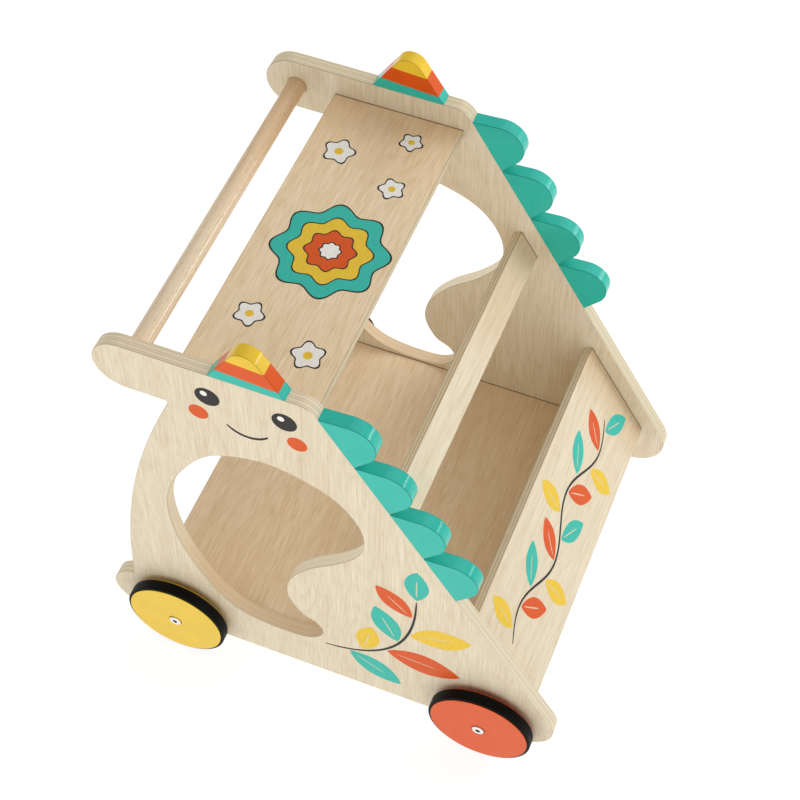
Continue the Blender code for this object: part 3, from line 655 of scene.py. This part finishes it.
# Painted shade: these tints darken the wood towards the left panel
SLAT_LEFT_SHADE = (Y, "#FAEFE4", 10 * MM, 80 * MM)
FRONT_BOARD_LEFT_SHADE = (Y, "#F8EDE1", 95 * MM, 142 * MM)
TRAY_LEFT_SHADE = (Y, "#FFF7F1", 40 * MM, 140 * MM)
BAR_LEFT_SHADE = (Y, "#F2E2CF", -60 * MM, 150 * MM)
panel_veneer = birch_veneer("birch veneer, panels", "#EBDFC5", "#D4C09D")
tray_veneer = birch_veneer("birch veneer, tray", "#F8E3C1", "#E2C293", 32 * MM, TRAY_LEFT_SHADE)
slat_veneer = birch_veneer("birch veneer, slat", "#EBDFC5", "#D4C09D", graded_tint=SLAT_LEFT_SHADE)
front_veneer = birch_veneer("birch veneer, front board", "#EBDFC5", "#D4C09D", graded_tint=FRONT_BOARD_LEFT_SHADE)
floor_veneer = birch_veneer("birch veneer, cargo floor", "#F0DABA", "#D9B98E", 32 * MM)
# The right panel's edges are painted lighter than the left panel's, as light on the right side and shade on
# the left
outer_edge = {
    "left": plywood_edge(
        "birch plywood edge, left panel", PANEL_PLY, "#EADBBC", "#DCCBA7", "#BAA37E", SLOPE_EDGE_SHADE
    ),
    "right": plywood_edge(
        "birch plywood edge, right panel", PANEL_PLY, "#F4E5C9", "#E6D3B1", "#BCA27D", SLOPE_EDGE_SHADE
    ),
}
# The cut-outs' edges are painted lighter than the outer edges, as the light that falls on them
cutout_edge = plywood_edge("birch plywood edge, cut-outs", PANEL_PLY, "#F9EFD4", "#F2E6C8", "#DAC7A3", SILL)
board_edge = plywood_edge("birch plywood edge, boards", BOARD_PLY, "#EEE0C5", "#C8B592", "#94805F")
dowel_wood = beech_dowel("turned beech", "#F3DFC0", "#D7B995", BAR_LEFT_SHADE)
# Painted shade: the panels' eased rims, tinted darker away from the sloped edges
panel_rim_shade = birch_veneer("birch veneer, eased rims", "#EADCC0", "#DBC8A7", graded_tint=RIM_SHADE)
# Painted shade: the boards' eased rims are dark, as shade along their edges and joints. The glue round the
# handle bar takes the same dark wood
board_rim_shade_and_joint = birch_veneer("birch veneer, rims of the boards", "#C2AE89", "#A18B66")
dried_glue = birch_veneer("dried wood glue", "#84623A", "#604628")
# Painted shade: the scales' eased rims are a darker teal
teal_rim_shade = satin_paint("satin paint, teal rims", "#249485")
teal_paint = satin_paint("satin paint, teal", TEAL)
yellow_paint = satin_paint("satin paint, yellow", YELLOW)
red_paint = satin_paint("satin paint, red", RED)
band_base = PANEL_LOW[2] + HORN_TILT * box("horn_left").mean(axis=0)[0]
horn_levels = [band_base + height for height in HORN_BANDS]
horn_bands = zip(horn_levels, (RED, YELLOW))
horn_paint = satin_paint("satin paint, horn bands", TEAL, horn_bands, HORN_TILT)
# Painted shade: the horns' eased rims are darker in each band
rim_shade_bands = zip(horn_levels, ("#CB4D08", "#CFA727"))
horn_rim_shade = satin_paint("satin paint, horn rims", "#2BA696", rim_shade_bands, HORN_TILT)
rubber = moulded("moulded black rubber", "#050505", 0.5, 0.9 * MM, 0.25, gloss=0.1)
steel = moulded("nickel-plated steel", "#EDEDEA", 0.25, 0.8 * MM, 0.04, 1.0)
# The sockets are oiled steel, painted near black as shade in the recess
oiled_steel_and_shade = moulded("oiled steel, sockets", "#1C1B1A", 0.6, 0.6 * MM, 0.1)
zinc = moulded("zinc-plated steel", "#B4B6B8", 0.42, 1.2 * MM, 0.1, 1.0)
nylon = moulded("white nylon", "#E4E4DE", 0.5, 1.0 * MM, 0.04)
teal_ink = print_ink("printed ink, teal", TEAL)
yellow_ink = print_ink("printed ink, yellow", YELLOW)
red_ink = print_ink("printed ink, red", RED)
dark_ink = print_ink("printed ink, dark", "#1E1A19")
white_ink = print_ink("printed ink, white", "#F6F2EA")


# Pieces of the frame

nut_holes = [circle(complex(x, AXLE_HEIGHT), NUT_BARREL_RADIUS + GLUE_GAP) for x in (0, WHEELBASE)]
for label, side in SIDES.items():
    inner = (PANEL_ORIGIN + side * INNER_FACE * Y, X, Z, side * Y)
    shape = [panel_outline(), cutout_outline(), *nut_holes]
    finishes = [panel_veneer, panel_rim_shade, outer_edge[label], cutout_edge]
    panel = plate(f"panel_{label}", [shape], inner, PANEL_THICKNESS, finishes, grain=GRAIN[label])
    settle(panel, "plywood_panel", f"side_panel_{label}")
    coats = [teal_paint, teal_rim_shade, teal_paint]
    for index in range(SCALE_COUNT):
        scale = plate(f"scale_{label}_{index + 1}", [[scale_outline(index)]], inner, PANEL_THICKNESS, coats)
        settle(scale, "paint_teal", f"mane_scale_{label}_{index + 1}")
    coats = [horn_paint, horn_rim_shade, horn_paint]
    horn = plate(f"banded_horn_{label}", [[horn_outline()]], inner, PANEL_THICKNESS, coats)
    settle(horn, "paint_red", f"horn_{label}")


def board(node_name, across, through, veneer, heel=0.0):
    """A flat board over its CAD node, with a line of glue along both ends of its outer face.

    Its length across the grain is (box x - thickness |through x|) / |across x|, and a heel adds to its
    lower edge. Gives the plane of its outer face, with the origin in the middle."""
    low, high = box(node_name)
    length = (high[0] - low[0] - BOARD_THICKNESS * abs(through[0])) / abs(across[0])
    centre = (low + high) / 2
    plane = (centre - through * BOARD_THICKNESS / 2, across, Y, through)
    outline = rectangle(length + heel, high[1] - low[1]) - heel / 2
    finishes = [veneer, board_rim_shade_and_joint, board_edge]
    grain = GRAIN[node_name]
    made = plate(f"{node_name}_plywood", [[outline]], plane, BOARD_THICKNESS, finishes, grain=grain)
    settle(made, "plywood_board", node_name)
    face = (centre + through * BOARD_THICKNESS / 2, across, Y, through)
    glue = rectangle(length - EASED, GLUE_WIDTH) + 1j * (INNER_FACE - GLUE_WIDTH / 2)
    lines = plate(f"{node_name}_glue", [[glue], [glue.conj()]], face, FILM_THICKNESS, [dried_glue], eased=0)
    settle(lines, None)
    return face


uphill = -DOWNHILL.real * X - DOWNHILL.imag * Z
tray_face = board("tray_board", X, Z, tray_veneer)
board("floor_board", X, Z, floor_veneer)
board("cross_slat", uphill, FORWARD, slat_veneer)
front_face = board("front_board", uphill, FORWARD, front_veneer, FRONT_HEEL)

bar_low, bar_high = box("handle_bar")
bar_middle = (bar_low + bar_high) / 2
bar_radius = (bar_high[0] - bar_low[0]) / 2
bar_half = (bar_high[1] - bar_low[1]) / 2
ease = arc(complex(bar_radius - EASED, bar_half - EASED), EASED, 0, math.pi / 2)
bar_radii = [0, *ease.real[::-1], *ease.real, 0]
bar_heights = [-bar_half, *-ease.imag[::-1], *ease.imag, bar_half]
bar = turned("turned_handle_bar", bar_radii, bar_heights, bar_middle, 1, [dowel_wood], sides=64)
settle(bar, "dowel", "handle_bar")
for label, side in SIDES.items():
    face = (side * INNER_FACE * Y + bar_middle * (X + Z), X, Z, -side * Y)
    ring = [circle(0j, bar_radius + GLUE_WIDTH), circle(0j, bar_radius - GLUE_LAP)]
    settle(plate(f"glue_line_{label}", [ring], face, FILM_THICKNESS, [board_rim_shade_and_joint], eased=0), "dowel")


# Wheels. Sections are radius + i y, with y outwards from the panel's outer face


def disc_section():
    """Bore, seat for the bolt head, face with an eased edge, tyre groove and rear flange.

    A ring near each edge of the face keeps its shading flat."""
    bore = BOLT_RADIUS + RUNNING_GAP
    seat = complex(BOLT_HEAD_RADIUS + 2 * RUNNING_GAP, BOLT_TOP - BOLT_HEAD_HEIGHT - RUNNING_GAP)
    groove = TYRE_RADIUS - TYRE_DEPTH - GLUE_GAP
    front, rear = TYRE_FRONT + GLUE_GAP, TYRE_REAR - GLUE_GAP
    soft = 0.75 * (DISC_FACE - front)
    edge = arc(complex(DISC_RADIUS - soft, DISC_FACE - soft), soft, math.pi / 2, 0, math.radians(15))
    lip = complex(seat.real + DISC_CHAMFER, DISC_FACE)
    rim = FLANGE_RADIUS - FLANGE_CHAMFER
    return np.array([
        complex(bore, STANDOFF), complex(bore, seat.imag), seat,
        complex(seat.real, DISC_FACE - DISC_CHAMFER), lip,
        lip + 1.5 * DISC_CHAMFER, edge[0] - 2 * DISC_CHAMFER, *edge,
        complex(DISC_RADIUS, front), complex(groove, front), complex(groove, rear),
        complex(rim, rear), complex(FLANGE_RADIUS, rear - FLANGE_CHAMFER),
        complex(FLANGE_RADIUS, STANDOFF + FLANGE_CHAMFER), complex(rim, STANDOFF),
    ])


def tyre_section():
    """A band with rounded shoulders and a fine mould line round the middle of its tread."""
    seat = TYRE_RADIUS - TYRE_DEPTH
    shoulder = TYRE_DEPTH / 3
    inner = TYRE_RADIUS - shoulder
    middle = (TYRE_FRONT + TYRE_REAR) / 2
    front = arc(complex(inner, TYRE_FRONT - shoulder), shoulder, math.pi / 2, 0, math.radians(12))
    rear = arc(complex(inner, TYRE_REAR + shoulder), shoulder, 0, -math.pi / 2, math.radians(12))
    return np.array([
        complex(seat, TYRE_REAR), complex(seat, TYRE_FRONT), *front,
        complex(TYRE_RADIUS, middle + MOULD_LINE_WIDTH / 2),
        complex(TYRE_RADIUS - MOULD_LINE_DEPTH, middle),
        complex(TYRE_RADIUS, middle - MOULD_LINE_WIDTH / 2), *rear,
    ])


def bolt_section(sides):
    """Shank, domed head and hexagon socket, as radii over the angles and heights along the axle.

    The socket's radius is its half width over cos(a), with a from the middle of the nearest flat."""
    under = BOLT_TOP - BOLT_HEAD_HEIGHT
    soft = BOLT_HEAD_HEIGHT / 3
    dome = arc(complex(BOLT_HEAD_RADIUS - soft, BOLT_TOP - soft), soft, 0, math.pi / 2, math.radians(12))
    a = np.arange(sides) * 2 * math.pi / sides
    flat = (a + math.pi / 6) % (math.pi / 3) - math.pi / 6
    hexagon = SOCKET_WIDTH / 2 / np.cos(flat)
    floor = BOLT_TOP - SOCKET_DEPTH
    rows = [
        (0, -BOLT_IN_PANEL), (BOLT_RADIUS, -BOLT_IN_PANEL), (BOLT_RADIUS, under), (BOLT_HEAD_RADIUS, under),
        *zip(dome.real, dome.imag), (hexagon + SOCKET_CHAMFER, BOLT_TOP),
        (hexagon, BOLT_TOP - SOCKET_CHAMFER), (hexagon, floor), (0, floor - SOCKET_POINT),
    ]
    return zip(*rows)


def nut_section():
    """A barrel in the panel and a flange on its inner face."""
    seat = -PANEL_THICKNESS - GLUE_GAP
    back = seat - NUT_FLANGE_THICKNESS
    mouth = -PANEL_THICKNESS + NUT_BARREL_LENGTH
    bore = BOLT_RADIUS + GLUE_GAP
    return np.array([
        complex(bore, back), complex(bore, mouth), complex(NUT_BARREL_RADIUS, mouth),
        complex(NUT_BARREL_RADIUS, seat), complex(NUT_FLANGE_RADIUS, seat),
        complex(NUT_FLANGE_RADIUS, back + NUT_CHAMFER), complex(NUT_FLANGE_RADIUS - NUT_CHAMFER, back),
    ])


def spacer_section():
    """A plain ring with softened rims."""
    bore = BOLT_RADIUS + RUNNING_GAP
    near, far = GLUE_GAP, STANDOFF - RUNNING_GAP
    rim = SPACER_RADIUS - SPACER_CHAMFER
    return np.array([
        complex(bore, near), complex(bore, far), complex(rim, far),
        complex(SPACER_RADIUS, far - SPACER_CHAMFER), complex(SPACER_RADIUS, near + SPACER_CHAMFER),
        complex(rim, near),
    ])


disc, tyre, nut, spacer = disc_section(), tyre_section(), nut_section(), spacer_section()
axles = (("rear", REAR_AXLE, yellow_paint, "paint_yellow"), ("front", FRONT_AXLE, red_paint, "paint_red"))
for end, axle, paint, paint_slot in axles:
    for label, side in SIDES.items():
        where = f"{end}_{label}"
        hub = np.array([axle[0], side * OUTER_FACE, axle[2]])
        wheel = f"wheel_{where}"
        made = turned(f"painted_disc_{where}", disc.real, disc.imag, hub, side, [paint], sides=128)
        settle(made, paint_slot, f"wheel_disc_{where}", body=wheel)
        made = turned(f"rubber_tyre_{where}", tyre.real, tyre.imag, hub, side, [rubber], sides=128)
        settle(made, "tyre", f"tyre_{where}", body=wheel)
        radii, heights = bolt_section(96)
        metals = [steel, oiled_steel_and_shade]
        made = turned(f"socket_bolt_{where}", radii, heights, hub, side, metals, sides=96, inside=2)
        settle(made, "steel", f"axle_bolt_{where}")
        made = turned(f"nylon_spacer_{where}", spacer.real, spacer.imag, hub, side, [nylon], sides=48)
        settle(made, "nylon", f"axle_spacer_{where}")
        made = turned(f"flanged_nut_{where}", nut.real, nut.imag, hub, side, [zinc], sides=48)
        settle(made, "zinc", f"tee_nut_{where}")

# The hidden dowel pins keep their solids
for name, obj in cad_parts.items():
    if "_pin_" in name:
        for slot in obj.material_slots:
            slot.material = dowel_wood


# Prints


def lay_print(name, shapes, plane, ink, slot=None):
    """A thin flat print on a face's plane."""
    origin, across, along, through = plane
    sunk = (origin - through * PRINT_BITE, across, along, through)
    shapes = [shape if isinstance(shape, list) else [shape] for shape in shapes]
    settle(plate(name, shapes, sunk, FILM_THICKNESS, [ink], eased=0), slot)


def at(x, z):
    """A point on a face, from millimetres. On a panel they count from the rear axle and the bottom edge, on
    the tray from its middle."""
    return complex(x, z) * MM


INKS = {"teal": teal_ink, "yellow": yellow_ink, "red": red_ink}

# The face, on each panel
EYES = (at(54, 364), at(115, 364))
EYE_RADIUS = 10 * MM
GLINT = at(-2.6, 3.2)  # from the middle of its eye
GLINT_RADIUS = 2.8 * MM
GLINT_LIFT = 0.03 * MM  # above the eye's own ink
CHEEKS = (at(45, 341), at(124, 341))
CHEEK_RADIUS = 8 * MM
SMILE = at(84, 350)
SMILE_RADIUS = 21 * MM
SMILE_WIDTH = 2.6 * MM
SMILE_SPAN = (math.radians(218), math.radians(322))

# The sprig, on each panel
SPRIG_CURVE = (at(136, 50), at(218, 60), at(218, 172))  # its start, the point it bends to, and its end
SPRIG_SHARES = (0.13, 0.24, 0.41, 0.57, 0.69, 0.86, 1)
SPRIG_LENGTHS = np.array([58, 46, 68, 53, 60, 48, 46]) * MM
SPRIG_LEAN = math.radians(50)
SPRIG_LEAF_WIDTH = 0.45  # as a share of its length

# The vine, on the front board
VINE_WAVE = 11 * MM
VINE_REACH = 121 * MM  # to each side of its middle
VINE_MIDDLE = -8 * MM
VINE_LEAN = math.radians(58)
VINE_LEAF_LENGTH = 42 * MM
VINE_LEAF_WIDTH = 18 * MM

# The blossom and the daisies, on the tray
BLOSSOM = at(6, -6)
BLOSSOM_RADII = np.array([44, 42.6, 31.5, 30.3, 19.5, 18.3, 8.6, 7.4]) * MM  # of each outline's two sides
DAISIES = (
    (at(-28, 92), 12 * MM), (at(26, 70), 10 * MM), (at(22, 122), 9 * MM), (at(-26, -84), 11 * MM),
    (at(30, -104), 12 * MM),
)
DAISY_RIM = 1.3 * MM
DAISY_HEART = 0.3  # as a share of its radius
DAISY_TURN = 30  # radians for each metre along the tray, so that no two look the same way


def sprig(start, bend, end, shares, lengths):
    """A stem on the curve (1 - t)^2 start + 2 t (1 - t) bend + t^2 end, with a leaf at each share of t.

    The leaves lean to its right and left by turns, but not at its end. Gives the stem and the leaves."""
    t = np.linspace(0, 1, 41)
    stem = (1 - t) ** 2 * start + 2 * t * (1 - t) * bend + t**2 * end
    leaves = []
    for number, (share, length) in enumerate(zip(shares, lengths)):
        root = (1 - share) ** 2 * start + 2 * share * (1 - share) * bend + share**2 * end
        way = (1 - share) * (bend - start) + share * (end - bend)
        turn = SPRIG_LEAN * (-1) ** (number + 1) if share < 1 else 0
        way *= np.exp(1j * turn) / abs(way)
        leaves.append(leaf(root + LEAF_STALK * way, root + length * way, SPRIG_LEAF_WIDTH * length))
    return ribbon(stem, STEM_WIDTH), leaves


for label, side in SIDES.items():
    outer = (PANEL_ORIGIN + side * OUTER_FACE * Y, X, Z, side * Y)
    lay_print(f"eyes_{label}", [circle(eye, EYE_RADIUS) for eye in EYES], outer, dark_ink)
    glint_plane = (outer[0] + side * GLINT_LIFT * Y, *outer[1:])
    glints = [circle(eye + GLINT, GLINT_RADIUS) for eye in EYES]
    lay_print(f"eye_glints_{label}", glints, glint_plane, white_ink)
    cheeks = [circle(cheek, CHEEK_RADIUS) for cheek in CHEEKS]
    lay_print(f"cheeks_{label}", cheeks, outer, red_ink, "paint_red")
    smile = arc(SMILE, SMILE_RADIUS, *SMILE_SPAN)
    lay_print(f"smile_{label}", [ribbon(smile, SMILE_WIDTH)], outer, dark_ink)
    stem, leaves = sprig(*SPRIG_CURVE, SPRIG_SHARES, SPRIG_LENGTHS)
    lay_print(f"sprig_stem_{label}", [stem], outer, dark_ink)
    for number, (colour, ink) in enumerate(INKS.items()):
        lay_print(f"sprig_leaves_{colour}_{label}", leaves[number::3], outer, ink, f"paint_{colour}")

# Front board: a wavy vine with leaves on both sides, one at every eighth of its points
reach = np.linspace(-1, 1, 97)
vine = VINE_WAVE * np.sin(2 * math.pi * reach) + 1j * (VINE_REACH * reach + VINE_MIDDLE)
lay_print("vine_stem", [ribbon(vine, STEM_WIDTH)], front_face, dark_ink)
vine_leaves = []
for number, step in enumerate(range(4, 94, 8)):
    way = (vine[step + 1] - vine[step - 1]) / abs(vine[step + 1] - vine[step - 1])
    off = way * np.exp(1j * VINE_LEAN * (1 if number % 2 else -1))
    tip = vine[step] + VINE_LEAF_LENGTH * off
    vine_leaves.append(leaf(vine[step] + LEAF_STALK * off, tip, VINE_LEAF_WIDTH))
for number, (colour, ink) in enumerate(INKS.items()):
    leaves = vine_leaves[(number + 2) % 3::3]
    lay_print(f"vine_leaves_{colour}", leaves, front_face, ink, f"paint_{colour}")

# Tray: one large blossom in bands, and small white ones round it
bands = [blossom(BLOSSOM, radius, lobes=8, depth=0.09, turn=0.2) for radius in BLOSSOM_RADII]
lay_print("blossom_outlines", [[bands[k], bands[k + 1]] for k in (0, 2, 4, 6)], tray_face, dark_ink)
for number, (colour, ink) in enumerate(INKS.items()):
    band = bands[2 * number + 1:2 * number + 3]
    lay_print(f"blossom_{colour}", [band], tray_face, ink, f"paint_{colour}")
lay_print("blossom_heart", [bands[7]], tray_face, white_ink)
rims, petals, hearts = [], [], []
for spot, radius in DAISIES:
    turn = spot.imag * DAISY_TURN
    rim = [blossom(spot, r, lobes=5, depth=0.16, turn=turn) for r in (radius, radius - DAISY_RIM)]
    heart = circle(spot, DAISY_HEART * radius)
    rims.append(rim)
    petals.append([rim[1], heart])
    hearts.append(heart)
lay_print("daisy_rims", rims, tray_face, dark_ink)
lay_print("daisy_petals", petals, tray_face, white_ink)
lay_print("daisy_hearts", hearts, tray_face, yellow_ink, "paint_yellow")


# Studio: a white floor, six soft lights and a white room

LIGHT_AIM = Vector((0, 0, 0.2))
LIGHTS = (  # name, place, width and height, and power
    ("near side", (-0.15, -1.45, 0.5), (1.4, 1.4), 5.1),
    ("near front", (0.8, -1.2, 0.6), (1.0, 1.0), 2.1),
    ("far side", (0, 1.5, 0.8), (1.2, 1.2), 6.9),
    ("front", (1.3, 0.95, 0.65), (0.5, 0.5), 4.8),
    ("front strip", (1.0, 0.5, 0.68), (0.36, 0.1), 1.2),
    ("over the far side", (0.6, 1.65, 2.1), (2.2, 2.2), 15.2),
)
ROOM_GLOW = 0.49
FLOOR_GLOW = 0.85
FLOOR_REACH = 30
LENS = 84.07
CAMERA_PLACE = (0.33945, -0.8446, 1.47757)
CAMERA_WAY = Vector((-0.217024, 0.543059, -0.811164))

for name, place, size, power in LIGHTS:
    lamp = bpy.data.lights.new(name, "AREA")
    lamp.shape = "RECTANGLE"
    lamp.size, lamp.size_y = size
    lamp.energy = power
    softbox = bpy.data.objects.new(name, lamp)
    softbox.location = place
    softbox.rotation_euler = (LIGHT_AIM - Vector(place)).to_track_quat("-Z", "Y").to_euler()
    bpy.context.scene.collection.objects.link(softbox)

# The walls glow softly, and are plain white to look at
room = bpy.data.worlds.new("white room")
room.use_nodes = True
backdrop = room.node_tree.nodes["Background"].inputs
backdrop["Color"].default_value = (1, 1, 1, 1)
seen = node(room.node_tree, "LightPath").outputs["Is Camera Ray"]
glow = node(room.node_tree, "MapRange", {"Value": seen, "To Min": ROOM_GLOW, "To Max": 1}).outputs[0]
room.node_tree.links.new(glow, backdrop["Strength"])
bpy.context.scene.world = room

floor_finish, _, floor_shader = new_finish("white studio floor", 0.9)
floor_shader.inputs["Base Color"].default_value = linear("#8C8C8C")
floor_shader.inputs["Emission Color"].default_value = (1, 1, 1, 1)
floor_shader.inputs["Emission Strength"].default_value = FLOOR_GLOW
floor_mesh = bpy.data.meshes.new("studio_floor")
corners = [(x * FLOOR_REACH, y * FLOOR_REACH, 0) for x, y in ((-1, -1), (1, -1), (1, 1), (-1, 1))]
floor_mesh.from_pydata(corners, [], [(0, 1, 2, 3)])
floor_mesh.materials.append(floor_finish)
studio_floor = bpy.data.objects.new("studio_floor", floor_mesh)
bpy.context.scene.collection.objects.link(studio_floor)

lens = bpy.data.cameras.new("camera")
lens.lens = LENS
lens.sensor_width = 36
camera = bpy.data.objects.new("camera", lens)
camera.location = CAMERA_PLACE
camera.rotation_euler = CAMERA_WAY.to_track_quat("-Z", "Y").to_euler()
bpy.context.scene.collection.objects.link(camera)
bpy.context.scene.camera = camera
bpy.context.scene.view_settings.view_transform = "Standard"
